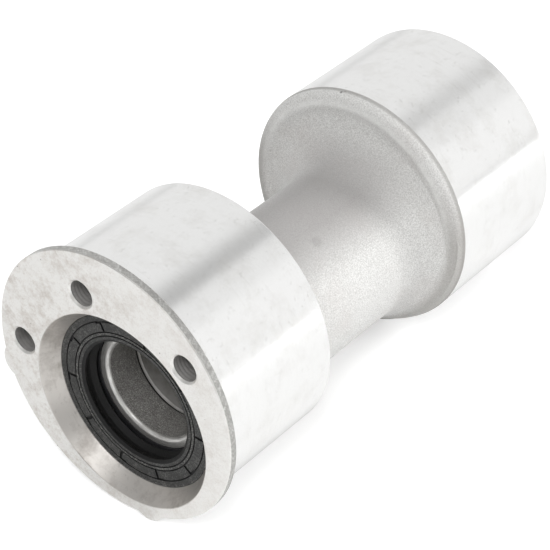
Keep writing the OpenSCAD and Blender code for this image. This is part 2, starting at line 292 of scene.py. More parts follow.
def feed(socket: NodeSocket, value: Any) -> None:
    """Links a Value or a socket to an input, or sets it to a number or a hex colour."""
    source = value.socket if isinstance(value, Value) else value
    if isinstance(source, NodeSocket):
        socket.id_data.links.new(source, socket)
    else:
        socket.default_value = linear(source) if isinstance(source, str) else source


def shader_of(tree: NodeTree, kind: str = "BSDF_PRINCIPLED") -> Node:
    """Finds the shader that a new material or world starts with."""
    return next(node for node in tree.nodes if node.type == kind)


class Value:
    """A number in a node tree; sums with it add Math nodes."""

    def __init__(self, socket: NodeSocket) -> None:
        """Wraps a node's output."""
        self.socket = socket

    def maths(self, operation: str, *others: Any) -> Value:
        """Gives the result of a Math node that this number goes into first."""
        inputs = dict(enumerate((self, *others)))
        return Value(add(self.socket.id_data, "Math", inputs, operation=operation).outputs[0])

    def __add__(self, other: Any) -> Value:
        return self.maths("ADD", other)

    def __sub__(self, other: Any) -> Value:
        return self.maths("SUBTRACT", other)

    def __mul__(self, other: Any) -> Value:
        return self.maths("MULTIPLY", other)

    def __truediv__(self, other: Any) -> Value:
        return self.maths("DIVIDE", other)

    def __abs__(self) -> Value:
        return self.maths("ABSOLUTE")

    def ramp(self, low: float, high: float, start: float = 0.0, end: float = 1.0,
             kind: str = "LINEAR") -> Value:
        """Gives a number that goes from start to end as this one goes from low to high."""
        inputs = {"Value": self, "From Min": low, "From Max": high, "To Min": start, "To Max": end}
        made = add(self.socket.id_data, "MapRange", inputs, interpolation_type=kind)
        return Value(made.outputs[0])

    def fade(self, low: float, high: float, start: float, end: float) -> Value:
        """Gives the same with soft ends."""
        return self.ramp(low, high, start, end, "SMOOTHSTEP")


class Shop:
    """The nodes that several finishes share: a shader, places in mm, grains, spots and coats of colour."""

    def __init__(self, name: str, metallic: float) -> None:
        """Starts a material of that name with an empty Principled shader."""
        self.material = bpy.data.materials.new(name)
        self.material.use_nodes = True
        self.tree = self.material.node_tree
        self.shader = shader_of(self.tree)
        self.shader.inputs["Metallic"].default_value = metallic
        metres = add(self.tree, "TexCoord").outputs["Object"]
        scaled = add(self.tree, "VectorMath", {0: metres, "Scale": 1 / MM}, operation="SCALE")
        self.place = scaled.outputs[0]

    def round_axis(self, seat: Seat) -> tuple[Value, Value, Value]:
        """Gives the radius, length and angle of a surface point round a seat's axis, mm and radians."""
        x, y, z = (Value(out) for out in add(self.tree, "SeparateXYZ", {0: self.place}).outputs)
        x, z = x - seat.x, z - seat.z
        return (x * x + z * z).maths("SQRT"), y, z.maths("ARCTAN2", x)

    def along(self, first: Any, second: Any, third: float = 0.0) -> Any:
        """Gives one vector socket made of three numbers."""
        return add(self.tree, "CombineXYZ", {0: first, 1: second, 2: third}).outputs[0]

    def grain(self, size: float, detail: float = 2.0, place: Any = None, rough: float = 0.5) -> Value:
        """Gives noise whose lumps are about size mm wide."""
        noise = add(self.tree, "TexNoise", {
            "Vector": place or self.place, "Scale": 1 / size, "Detail": detail, "Roughness": rough})
        return Value(noise.outputs["Fac"])

    def spots(self, spacing: float, size: float, share: float) -> Value:
        """Gives a mask that is 1 in round spots.

        Args:
            spacing: The mean distance between places that could hold a spot, mm.
            size: A spot's radius, mm.
            share: The share of those places that do hold one.
        """
        cells = add(self.tree, "TexVoronoi", {"Vector": self.place, "Scale": 1 / spacing}).outputs
        chosen = Value(add(self.tree, "SeparateColor", {0: cells["Color"]}).outputs[0])
        near = Value(cells["Distance"]).ramp(size / spacing, 0.6 * size / spacing)
        return near * chosen.maths("LESS_THAN", share)

    def coated(self, colour: Any, *coats: tuple[Value, str]) -> Any:
        """Gives a colour socket: a colour with coats laid over it, each a mask and its colour."""
        for mask, coat in coats:
            mixed = add(self.tree, "Mix", {0: mask, 6: colour, 7: coat}, data_type="RGBA")
            colour = mixed.outputs[2]
        return colour

    def finish(self, colour: Any, roughness: Any, height: Value, depth: float) -> Material:
        """Links colour, roughness and a bump to the shader.

        Args:
            colour: A colour socket.
            roughness: A number or a Value.
            height: The bump's shape, from 0 to 1.
            depth: The bump's real depth, mm.

        Returns:
            The finished material.
        """
        bump = add(self.tree, "Bump", {"Height": height, "Distance": depth * MM, "Strength": 1.0})
        for key, value in {"Normal": bump.outputs[0], "Base Color": colour, "Roughness": roughness}.items():
            feed(self.shader.inputs[key], value)
        return self.material


@dataclass(frozen=True)
class Finish:
    """How a surface was made, with marks round the seat's axis; metal is its bare share, the rest is film."""

    name: str
    seat: Seat = Seat()

    def build(self) -> Material:
        """Makes the material."""
        raise NotImplementedError


@dataclass(frozen=True)
class TurnedAluminium(Finish):
    """Cast aluminium turned on a lathe and left bare: bright, with fine rings, faint clouds and dull streaks.

    Attributes:
        stained: Colour of its dull, oxidised clouds.
        feed: Width of the rings that show, mm. The tool's real feed of 0.15 mm is too fine to show.
        cloud: How strong the clouds are, from 0 to 1.
    """

    bright: str = "#f6f6f5"
    stained: str = "#dcdad6"
    feed: float = 0.7
    roughness: float = 0.2
    cloud: float = 0.4
    metal: float = 1.0

    def build(self) -> Material:
        """Makes the material."""
        shop = Shop(self.name, self.metal)
        radius, length, angle = shop.round_axis(self.seat)
        rings = shop.grain(1.0, 3.0, shop.along((length + radius) / self.feed, angle * 1.5))
        streaks = shop.grain(1.0, 2.0, shop.along(length * 0.9, angle * 3.0, 7.0))
        clouds = shop.grain(11.0, 6.0, rough=0.7).ramp(0.48, 0.72)
        scuffs = shop.grain(2.2, 6.0, rough=0.75).ramp(0.58, 0.68)
        dull = (clouds + streaks.ramp(0.6, 0.8, 0.0, 0.5)) * self.cloud
        colour = shop.coated(self.bright, (dull, self.stained), (scuffs * (0.6 * self.cloud), "#b4b1ac"))
        rough = rings.ramp(0.3, 0.7, self.roughness - 0.01, self.roughness + 0.02) + dull * 0.10
        return shop.finish(colour, rough, rings, 0.0007)


@dataclass(frozen=True)
class FacedAluminium(Finish):
    """Cast aluminium faced on a lathe and handled since: off-white, mottled, with casting pores and scratches.

    Attributes:
        stained: Colour of the mottling.
        pore_share: The share of places 3.4 mm apart that hold a casting pore of about 0.3 mm.
    """

    bright: str = "#f5f4f1"
    stained: str = "#cfc7bf"
    pore_share: float = 0.3
    roughness: float = 0.45

    def build(self) -> Material:
        """Makes the material."""
        shop = Shop(self.name, 1.0)
        radius, length, angle = shop.round_axis(self.seat)
        rings = shop.grain(1.0, 2.0, shop.along((radius + length) / 0.5, angle * 2.0))
        fine = shop.grain(0.5, 4.0, rough=0.7).ramp(0.50, 0.72)
        mottle = shop.grain(6.0, 9.0, rough=0.8).ramp(0.46, 0.64)
        mottle = mottle * angle.maths("COSINE").ramp(-0.5, 0.7, 1.0, 0.45)
        pores = shop.spots(3.4, 0.24, self.pore_share)
        tilted = add(shop.tree, "Mapping", {
            "Vector": shop.place, "Rotation": (0.0, 0.7, 0.0), "Scale": (0.16, 1.0, 2.6)}).outputs[0]
        scratches = shop.grain(1.1, 2.0, tilted).ramp(0.74, 0.80)
        colour = shop.coated(self.bright, (mottle * 0.7, self.stained), (fine * 0.28, "#c4bcb6"),
                             (scratches * 0.3, "#aca6a0"), (pores * 0.8, "#5c5650"))
        rough = mottle.ramp(0.0, 1.0, -0.06, 0.10) + self.roughness
        return shop.finish(colour, rough, rings * 0.25 - (pores + scratches), 0.015)


@dataclass(frozen=True)
class CastSkin(Finish):
    """Aluminium as it leaves its mould, blasted: grey and matt, with an even grit and a worn, lighter crest,
    painted lighter on its upper side only as highlight.

    Its seat is the waist's axis, and the waist's top is painted darker as shade.

    Attributes:
        drums: The drums' axis.
        light, dark: Colours of the grains' tops and between them.
        grit: Width of the grains that show, mm. Real blasting grit leaves dents of 0.2 to 0.4 mm.
        crest: Radius of the worn crest round the far dish, mm.
        pits: Casting pits and smudges: place in mm, radius in mm and strength.
    """

    drums: Seat = Seat()
    light: str = "#dededc"
    dark: str = "#b8b7b5"
    grit: float = 0.38
    metal: float = 0.2
    crest: float = 40.0
    pits: tuple[tuple[float, float, float, float, float], ...] = (
        (-7.9, 120.4, 42.9, 0.6, 0.8), (-6.7, 120.9, 43.2, 0.4, 0.6), (15.4, 78.4, 16.0, 2.6, 0.16))

    def build(self) -> Material:
        """Makes the material."""
        shop = Shop(self.name, self.metal)
        grains = shop.grain(self.grit, 3.0, rough=0.6)
        lumps = shop.grain(2.4, 3.0)
        patches = shop.grain(18.0, 3.0).ramp(0.48, 0.70)
        radius, _, angle = shop.round_axis(self.seat)
        # Painted shade: the top of the waist is darkened towards #949190.
        top = angle.maths("SINE").ramp(0.6, 0.95) * radius.ramp(40.0, 27.5)
        radius, _, angle = shop.round_axis(self.drums)
        up = angle.maths("SINE")
        # The crest is lighter from wear; in the coats below it is kept to the upper side as painted highlight.
        worn = abs(radius - (self.crest - 0.3)).ramp(1.8, 0.1) * shop.grain(3.0, 3.0).ramp(0.3, 0.6, 0.3, 0.75)
        edge = radius.ramp(self.crest + 3.6, self.crest + 3.9, 0.0, 0.6)
        # Painted shade: the outer part of the rims round the dishes is darkened, except where it faces up,
        # against the side lamp's light.
        low = up.ramp(0.6, 0.1) * radius.ramp(38.0, 41.0)
        colour = shop.coated(
            self.dark, (grains.ramp(0.36, 0.64), self.light), (patches * 0.25, "#b5adaa"),
            (top * 0.75, "#949190"), (worn * up.ramp(-0.2, 0.5), "#e2e2e0"), (edge, "#7d7b78"),
            (low * 0.6, "#96938f"))
        for x, y, z, size, strength in self.pits:
            away = add(shop.tree, "VectorMath", {0: shop.place, 1: (x, y, z)}, operation="DISTANCE")
            pit = Value(away.outputs["Value"]).ramp(size, 0.4 * size, 0.0, strength)
            colour = shop.coated(colour, (pit, "#55524f"))
        colour = shop.coated(colour, (shop.spots(6.0, 0.25, 0.2) * 0.5, "#8a8683"))
        return shop.finish(colour, grains.ramp(0.3, 0.7, 0.66, 0.56), grains + lumps * 0.8, 0.03)


@dataclass(frozen=True)
class NickedEdge(Finish):
    """The flange lip's turned edge, knocked and rubbed in handling: darker, with short cross marks both ways.

    It is worn between the marks and dull in them; radius is the lip's, mm.
    """

    worn: str = "#e0e0dd"
    dull: str = "#a3a29f"
    radius: float = 47.6

    def build(self) -> Material:
        """Makes the material."""
        shop = Shop(self.name, 1.0)
        _, length, angle = shop.round_axis(self.seat)
        one_way, other_way = (
            shop.grain(size, 4.0, shop.along(angle * self.radius + length * slant, length * 0.4, slant), 0.7)
            for slant, size in ((1.1, 0.55), (-0.9, 0.8)))
        nicks = one_way * other_way
        patches = shop.grain(1.6, 5.0, rough=0.75).ramp(0.44, 0.58)
        colour = shop.coated(self.dull, (nicks.ramp(0.16, 0.36), self.worn), (patches * 0.5, "#a9a7a4"))
        return shop.finish(colour, 0.45, nicks, 0.04)


@dataclass(frozen=True)
class NitrileRubber(Finish):
    """Moulded nitrile rubber: charcoal, matt, with a grainy moulded skin, dust in it and a few bright specks.

    Attributes:
        colour: Colour of clean rubber.
        dusty: Colour of the skin's dusty grains.
        specks: The share of places 2.2 mm apart that hold a speck.
        faces: Places of the seals' faces, mm; the grooves in them and the lip's inside are painted black as
            shade.
    """

    colour: str = "#2c2c2c"
    dusty: str = "#6e6e6b"
    specks: float = 0.09
    faces: tuple[float, ...] = ()

    def build(self) -> Material:
        """Makes the material."""
        shop = Shop(self.name, 0.0)
        bloom = shop.grain(4.0, 4.0, rough=0.6).ramp(0.35, 0.7)
        grain = shop.grain(0.4, 3.0, rough=0.65)
        radius, length, _ = shop.round_axis(self.seat)
        beads = radius.ramp(23.6, 23.9) * radius.ramp(24.8, 24.5)
        edges = beads.maths("MAXIMUM", radius.ramp(29.9, 30.8)) * 0.9
        dust = grain.ramp(0.46, 0.64) * bloom.ramp(0.0, 1.0, 0.25, 0.9) + grain.ramp(0.5, 0.62) * edges
        colour = shop.coated(self.colour, (dust, self.dusty))
        # Painted shade: the face's grooves and slots and the inside of the lip are darkened to near black.
        for face in self.faces:
            depth = abs(length - face)
            groove = depth.ramp(0.02, 0.12) * radius.ramp(30.0, 29.4)
            inside = depth.ramp(0.5, 1.2) * radius.ramp(23.2, 22.4)
            groove_and_lip_shade = groove.maths("MAXIMUM", inside) * depth.maths("LESS_THAN", 8.0)
            colour = shop.coated(colour, (groove_and_lip_shade, "#0c0c0c"))
        colour = shop.coated(colour, (shop.spots(2.2, 0.12, self.specks), "#c8c8c4"))
        shop.shader.inputs["Specular IOR Level"].default_value = 0.4
        return shop.finish(colour, grain.ramp(0.3, 0.7, 0.5, 0.7), grain, 0.03)


@dataclass(frozen=True)
class GroundSteel(Finish):
    """Hardened steel ground round an axis: fine streaks round it, a light speckle and a thin film of oil.

    Attributes:
        bright: Colour of the ground lines.
        dark: Colour between them.
        line: Width of the streaks that show, mm. The real ones are a few hundredths wide.
        speckle: How strong the speckle is, from 0 to 1.
        darkened_joints: Places along the axis where two pieces meet, mm; within 1 mm of them the surface is
            darkened nearly black, fading out by 1.5 mm.
    """

    bright: str = "#cfcecb"
    dark: str = "#a3a19e"
    line: float = 0.3
    roughness: float = 0.33
    speckle: float = 0.4
    metal: float = 1.0
    darkened_joints: tuple[float, ...] = ()

    def build(self) -> Material:
        """Makes the material."""
        shop = Shop(self.name, self.metal)
        radius, length, angle = shop.round_axis(self.seat)
        streaks = shop.grain(1.0, 3.0, shop.along((radius + length) / self.line, angle * 4.0))
        speckle = shop.grain(0.35, 3.0, rough=0.6).ramp(0.5, 0.68) * self.speckle
        colour = shop.coated(self.dark, (streaks.ramp(0.3, 0.7), self.bright), (speckle, "#e2e0dc"))
        rough = streaks.ramp(0.3, 0.7, self.roughness + 0.05, self.roughness - 0.04)
        for place in self.darkened_joints:
            # Near each joint the colour goes nearly black and the surface gets rougher.
            joint_darkening = abs(length - place).ramp(1.5, 1.0)
            colour = shop.coated(colour, (joint_darkening, "#23211f"))
            rough = rough.maths("MAXIMUM", joint_darkening * 0.6)
        return shop.finish(colour, rough, streaks, 0.001)


@dataclass(frozen=True)
class DrawnSteel(Finish):
    """Cold drawn or pressed steel, bright, with fine marks and a cloudy film of oil."""

    bright: str = "#a5a4a2"
    film: str = "#6d6a66"
    roughness: float = 0.34
    metal: float = 1.0

    def build(self) -> Material:
        """Makes the material."""
        shop = Shop(self.name, self.metal)
        marks = shop.grain(0.35, 3.0)
        cloud = shop.grain(4.0, 3.0).ramp(0.42, 0.7)
        colour = shop.coated(self.bright, (cloud * 0.7, self.film), (marks.ramp(0.45, 0.7) * 0.12, "#d0cfcc"))
        rough = marks.ramp(0.3, 0.7, self.roughness - 0.05, self.roughness + 0.08)
        return shop.finish(colour, rough, marks, 0.002)


@dataclass(frozen=True)
class PolishedSteel(Finish):
    """Lapped bearing balls: a mirror with hair-fine lapping marks."""

    def build(self) -> Material:
        """Makes the material."""
        shop = Shop(self.name, 1.0)
        marks = shop.grain(0.25, 2.0)
        colour = shop.coated("#cfd0d1", (marks.ramp(0.3, 0.7), "#dcdddd"))
        return shop.finish(colour, marks.ramp(0.3, 0.7, 0.06, 0.12), marks, 0.001)


# ---- the object's parts ----


@dataclass(frozen=True)
class Lines:
    """The axes that the part is built on, and the places along them that its pieces share, in mm."""

    bore_x: float = 2.930113
    bore_z: float = -8.509667
    face_y: float = -2.8
    end_y: float = 172.0
    near_seal_y: float = 3.4
    far_seal_y: float = 169.0
    near_bearing_y: float = 10.7
    far_bearing_y: float = 161.7
    bearing_w: float = 14.0

    def drums(self, y: float = 0.0, way: Way = Way.TOWARDS_FAR_END) -> Seat:
        """Gives a seat on the drums' axis."""
        return Seat(0.0, 0.0, y, way)

    def bore(self, y: float = 0.0, way: Way = Way.TOWARDS_FAR_END) -> Seat:
        """Gives a seat on the bore's axis."""
        return Seat(self.bore_x, self.bore_z, y, way)

    def pair(self, near_y: float, far_y: float) -> tuple[tuple[str, Seat], ...]:
        """Gives the seats of two like pieces, one at each end, measured inwards, with the end's name."""
        return ("near", self.bore(near_y)), ("far", self.bore(far_y, Way.TOWARDS_NEAR_END))


@dataclass
class Casting:
    """The aluminium casting: two turned drums, the waist between them, flange lip, bore and tapped holes.

    In the names, r is a radius, l a length and bend the radius of a rounding, in mm; angles are in degrees.

    Attributes:
        edge: Bevel on the edges of lip and lugs.
        root_bend: Between the flange's shoulder and the drum.
        near_rim_bend: At the near drum's inner edge, which is machined almost to its end.
        far_rim_bend: From the far drum's machined edge over to the casting's crest.
        crest_bend: Of the crest's inner slope.
        dish: Depth of the dish under the crest.
        foot_bend: Of the fillet between that slope and the dish.
        flare_bend: With which the waist flares into both dishes.
        flare_dip: How deep the flare dips under the dish.
        runout_bend: With which the flare runs out over the drums' edges on the thin side.
        runout_inset: How far that runout stays inside the drums.
        seat_r: Of the seat of bearings and seals.
        core_r: Of the cored bore.
        mouth_r: Of the mouth at the flange's face.
        hole_circle_r: Of the circle of tapped holes round the bore's axis.
        lug_reach: How far the two lugs stand out past the lip.
    """

    lines: Lines
    drum_r: float = 44.0
    near_drum_l: float = 49.0
    far_drum_l: float = 50.0
    lip_r: float = 47.6
    edge: float = 0.3
    root_bend: float = 0.3
    near_rim_bend: float = 0.6
    far_rim_bend: float = 4.0
    crest_bend: float = 8.0
    dish: float = 0.8
    foot_bend: float = 12.0
    waist_r: float = 27.5
    flare_bend: float = 14.5
    flare_dip: float = 0.1
    runout_bend: float = 8.0
    runout_inset: float = 0.3
    seat_r: float = 31.0
    core_r: float = 23.0
    mouth_r: float = 34.6
    hole_circle_r: float = 41.5
    hole_angles: tuple[tuple[str, float], ...] = (("right", 49.5), ("top", 109.5), ("left", 169.5))
    lug_angles: tuple[float, float] = (196.3, 286.3)
    lug_r: float = 6.5
    lug_reach: float = 2.1

    @property
    def far_edge(self) -> float:
        """Where the far drum's machined length starts."""
        return self.lines.end_y - self.far_drum_l

    def rim(self, drum_l: float, bend: float) -> Outline:
        """Gives the rim past a drum's machined length, rounded with bend, down to the dish's middle."""
        crest_r, crest_l = self.drum_r - bend, drum_l + bend
        dish_l = crest_l - self.dish
        reach = self.crest_bend + self.foot_bend
        climb = reach - self.dish
        run = math.sqrt(reach**2 - climb**2)
        slope = math.degrees(math.atan2(climb, -run))
        return (
            arc(crest_r, drum_l, bend, 0, 90, 12)
            + arc(crest_r, crest_l - self.crest_bend, self.crest_bend, 90, slope, 6)[1:]
            + arc(crest_r - run, dish_l + self.foot_bend, self.foot_bend, slope - 180, -90, 6)[1:]
            + [(0.0, dish_l)]
        )

    def disc(self, radius: float) -> Outline:
        """Gives the outline of a bevelled disc as thick as the flange, up to the shoulder's edge."""
        face, edge = self.lines.face_y, self.edge
        return [(0.0, face), (radius - edge, face), (radius, face + edge), (radius, -edge),
                (radius - edge, 0.0)]

    def near_drum(self) -> Object:
        """Makes the near drum with the flange lip."""
        root = self.root_bend
        outline = self.disc(self.lip_r) + arc(self.drum_r + root, root, root, -90, -180, 3)
        return turned("casting", outline + self.rim(self.near_drum_l, self.near_rim_bend), self.lines.drums())

    def far_drum(self) -> Object:
        """Makes the far drum."""
        seat = self.lines.drums(self.lines.end_y, Way.TOWARDS_NEAR_END)
        outline = [(0.0, 0.0), (self.drum_r - 1.0, 0.0), (self.drum_r, 1.0)]
        return turned("far_drum", outline + self.rim(self.far_drum_l, self.far_rim_bend), seat)

    def waist(self) -> Object:
        """Makes the waist with its flares into both dishes, cut back where they would leave the drums."""
        wide = self.waist_r + self.flare_bend
        inset = self.flare_bend - self.flare_dip - self.dish
        near = self.near_drum_l + self.near_rim_bend + inset
        far = self.far_edge - self.far_rim_bend - inset
        start = self.near_drum_l - 3
        outline = [(0.0, start), (wide, start)]
        outline += arc(wide, near, self.flare_bend, -90, -180, 18)
        outline += arc(wide, far, self.flare_bend, 180, 90, 18)
        outline += [(wide, self.far_edge + 1), (0.0, self.far_edge + 1)]
        made = turned("waist", outline, self.lines.bore())
        centre, overlap = self.drum_r - self.runout_bend - self.runout_inset, 4
        first = math.degrees(math.asin(-overlap / self.runout_bend))
        limit = [(0.0, self.near_drum_l - overlap)]
        limit += arc(centre, self.near_drum_l, self.runout_bend, first, 45, 10)
        limit += arc(centre, self.far_edge, self.runout_bend, -45, -first, 10)
        limit += [(0.0, self.far_edge + overlap)]
        work(made, turned("limit", limit, self.lines.drums()), Join.KEEP_SHARED)
        return made

    def lug(self, angle: float) -> Object:
        """Makes one round lug of the flange lip."""
        place = self.lines.drums().place(self.lip_r + self.lug_reach - self.lug_r, 0, angle) / MM
        return turned("lug", self.disc(self.lug_r) + [(0.0, 0.0)], Seat(place.x, place.z), 48)

    def bore(self) -> Object:
        """Makes the tool for the mouth, both seats and the cored bore; its flares round the edges they cut."""
        face, end, lines = self.lines.face_y, self.lines.end_y, self.lines
        near_stop, far_stop = lines.near_bearing_y + lines.bearing_w, lines.far_bearing_y - lines.bearing_w
        outline = [(0.0, face - 1), (self.mouth_r + 1.3, face - 1), (self.mouth_r + 0.24, face - 0.001),
                   (self.mouth_r + 0.06, face + 0.07), (self.mouth_r - 0.09, face + 0.24),
                   (self.seat_r, lines.near_seal_y), (self.seat_r, near_stop), (self.core_r, near_stop),
                   (self.core_r, far_stop), (self.seat_r, far_stop), (self.seat_r, end - 1),
                   (self.seat_r + 2, end + 1), (0.0, end + 1)]
        return turned("bore", outline, lines.bore())

    def hole_seat(self, angle: float) -> Seat:
        """Gives the axis of the tapped hole at an angle."""
        place = self.lines.bore().place(self.hole_circle_r, 0, angle) / MM
        return Seat(place.x, place.z, self.lines.face_y)

    def hole(self, angle: float) -> Object:
        """Makes the tool for one tapped hole: chamfer, length at the thread's full width, drilled end."""
        outline = [(0.0, -1.0), (6.2, -1.0), (5.2, -0.001), (5.08, 0.06), (4.45, 0.7), (4.72, 1.1),
                   (4.72, 17.0), (4.4, 17.4), (4.4, 20.0), (0.0, 22.6)]
        return turned("hole", outline, self.hole_seat(angle), 48)

    def build(self) -> Object:
        """Makes the whole casting, dressed, in place of its CAD node."""
        made = self.near_drum()
        for extra in (self.waist(), self.far_drum(), *[self.lug(a) for a in self.lug_angles]):
            work(made, extra, Join.ADD)
        for tool in (self.bore(), *[self.hole(a) for _, a in self.hole_angles]):
            work(made, tool, Join.CUT)
        self.dress(made)
        smoothed(made)
        return made

    def tapped(self, name: str) -> TurnedAluminium:
        """Gives the finish of the tapped holes: turned aluminium painted darker as shade in the holes."""
        return TurnedAluminium(name, self.lines.bore(), "#b7b5b3", "#8d8b89", 0.4, 0.45, 0.7, 0.6)

    def dress(self, made: Object) -> None:
        """Gives each face the finish of the surface that it belongs to."""
        drums, bore = self.lines.drums(), self.lines.bore()
        for finish in (
            CastSkin("cast_aluminium_skin", bore, drums),
            TurnedAluminium("turned_drum_aluminium", drums),
            FacedAluminium("faced_flange_aluminium", drums),
            TurnedAluminium("bored_mouth_aluminium", bore, "#dad6d1", "#aea8a2", 0.5, 0.38, 0.85, 0.95),
            NickedEdge("nicked_lip_aluminium", drums),
            self.tapped("tapped_hole_aluminium"),
        ):
            made.data.materials.append(finish.build())
        for polygon in made.data.polygons:
            polygon.material_index = self.zone(polygon.center / MM, polygon.normal)

    def zone(self, centre: Vector, normal: Vector) -> int:
        """Says which finish a face takes.

        Args:
            centre: The face's middle, mm.
            normal: Its direction.

        Returns:
            The finish's place in the order in which dress() makes them.
        """
        cast, drum, faced, mouth, lip, tapped = range(6)
        lines, far_edge = self.lines, self.far_edge
        thread_r, chamfer_r, hole_end = 4.8, 5.25, 21
        from_drums, from_bore = lines.drums().radius(centre), lines.bore().radius(centre)
        for _, angle in self.hole_angles:
            from_hole = self.hole_seat(angle).radius(centre)
            if from_hole < thread_r and lines.face_y + 0.75 < centre.y < hole_end:
                return tapped
            if from_hole < chamfer_r and abs(normal.y) < 0.999 and centre.y < 0:
                return faced
        if from_bore < self.mouth_r + 0.3 and centre.y < lines.near_seal_y and abs(normal.y) < 0.98:
            return mouth
        if from_bore < self.seat_r + 0.01 and from_drums < self.drum_r - 1:
            inside = lines.near_seal_y - 1 < centre.y < lines.end_y
            if inside and not self.near_drum_l < centre.y < far_edge:
                return tapped
            if from_bore < self.core_r + 0.01:
                return cast
        if centre.y < 0.01 and from_drums > self.drum_r + 0.35 and abs(normal.y) < 0.3:
            return lip
        if centre.y < 0.01 or centre.y > lines.end_y - 1.01:
            return faced
        in_dish = centre.y > self.near_drum_l - 0.3 and from_drums < self.drum_r - self.near_rim_bend - 0.05
        past_rim = centre.y > self.near_drum_l + self.near_rim_bend
        return cast if (in_dish or past_rim) and centre.y < far_edge else drum


@dataclass
class HoleThread:
    """The worn, shallow thread in a tapped hole: a helical ridge that stands on the hole's full-width wall.

    Attributes:
        seat: The hole's axis, from the flange's face.
        root_r: Radius of the thread's root, a little inside the casting's wall.
        crest_r: Radius of its crest. M10 x 1.25 has 4.4 mm; this one is worn and reads as faint lines.
        start: Depth at which the first turn begins.
    """

    seat: Seat
    root_r: float = 4.74
    crest_r: float = 4.64
    pitch: float = 1.25
    turns: int = 12
    start: float = 1.5

    def build(self, name: str, finish: Material) -> Object:
        """Makes the ridge from its four-cornered section with a Screw modifier."""
        corners = ((self.root_r, -0.6), (self.crest_r, -0.2), (self.crest_r, 0.2), (self.root_r, 0.6))
        made = chain(name, [Vector((radius, y, 0)) * MM for radius, y in corners])
        bpy.ops.mesh.remove_doubles(threshold=0.002 * MM)
        bpy.ops.object.mode_set(mode="OBJECT")
        settle(made)
        modify(made, "SCREW", axis="Y", angle=FULL_TURN, screw_offset=self.pitch * MM, iterations=self.turns,
               steps=40, render_steps=40)
        made.location = self.seat.place(0, self.start)
        bpy.ops.object.mode_set(mode="EDIT")
        close_up(made)
        bpy.ops.object.shade_smooth_by_angle(angle=math.radians(35))
        made.data.materials.append(finish)
        return made


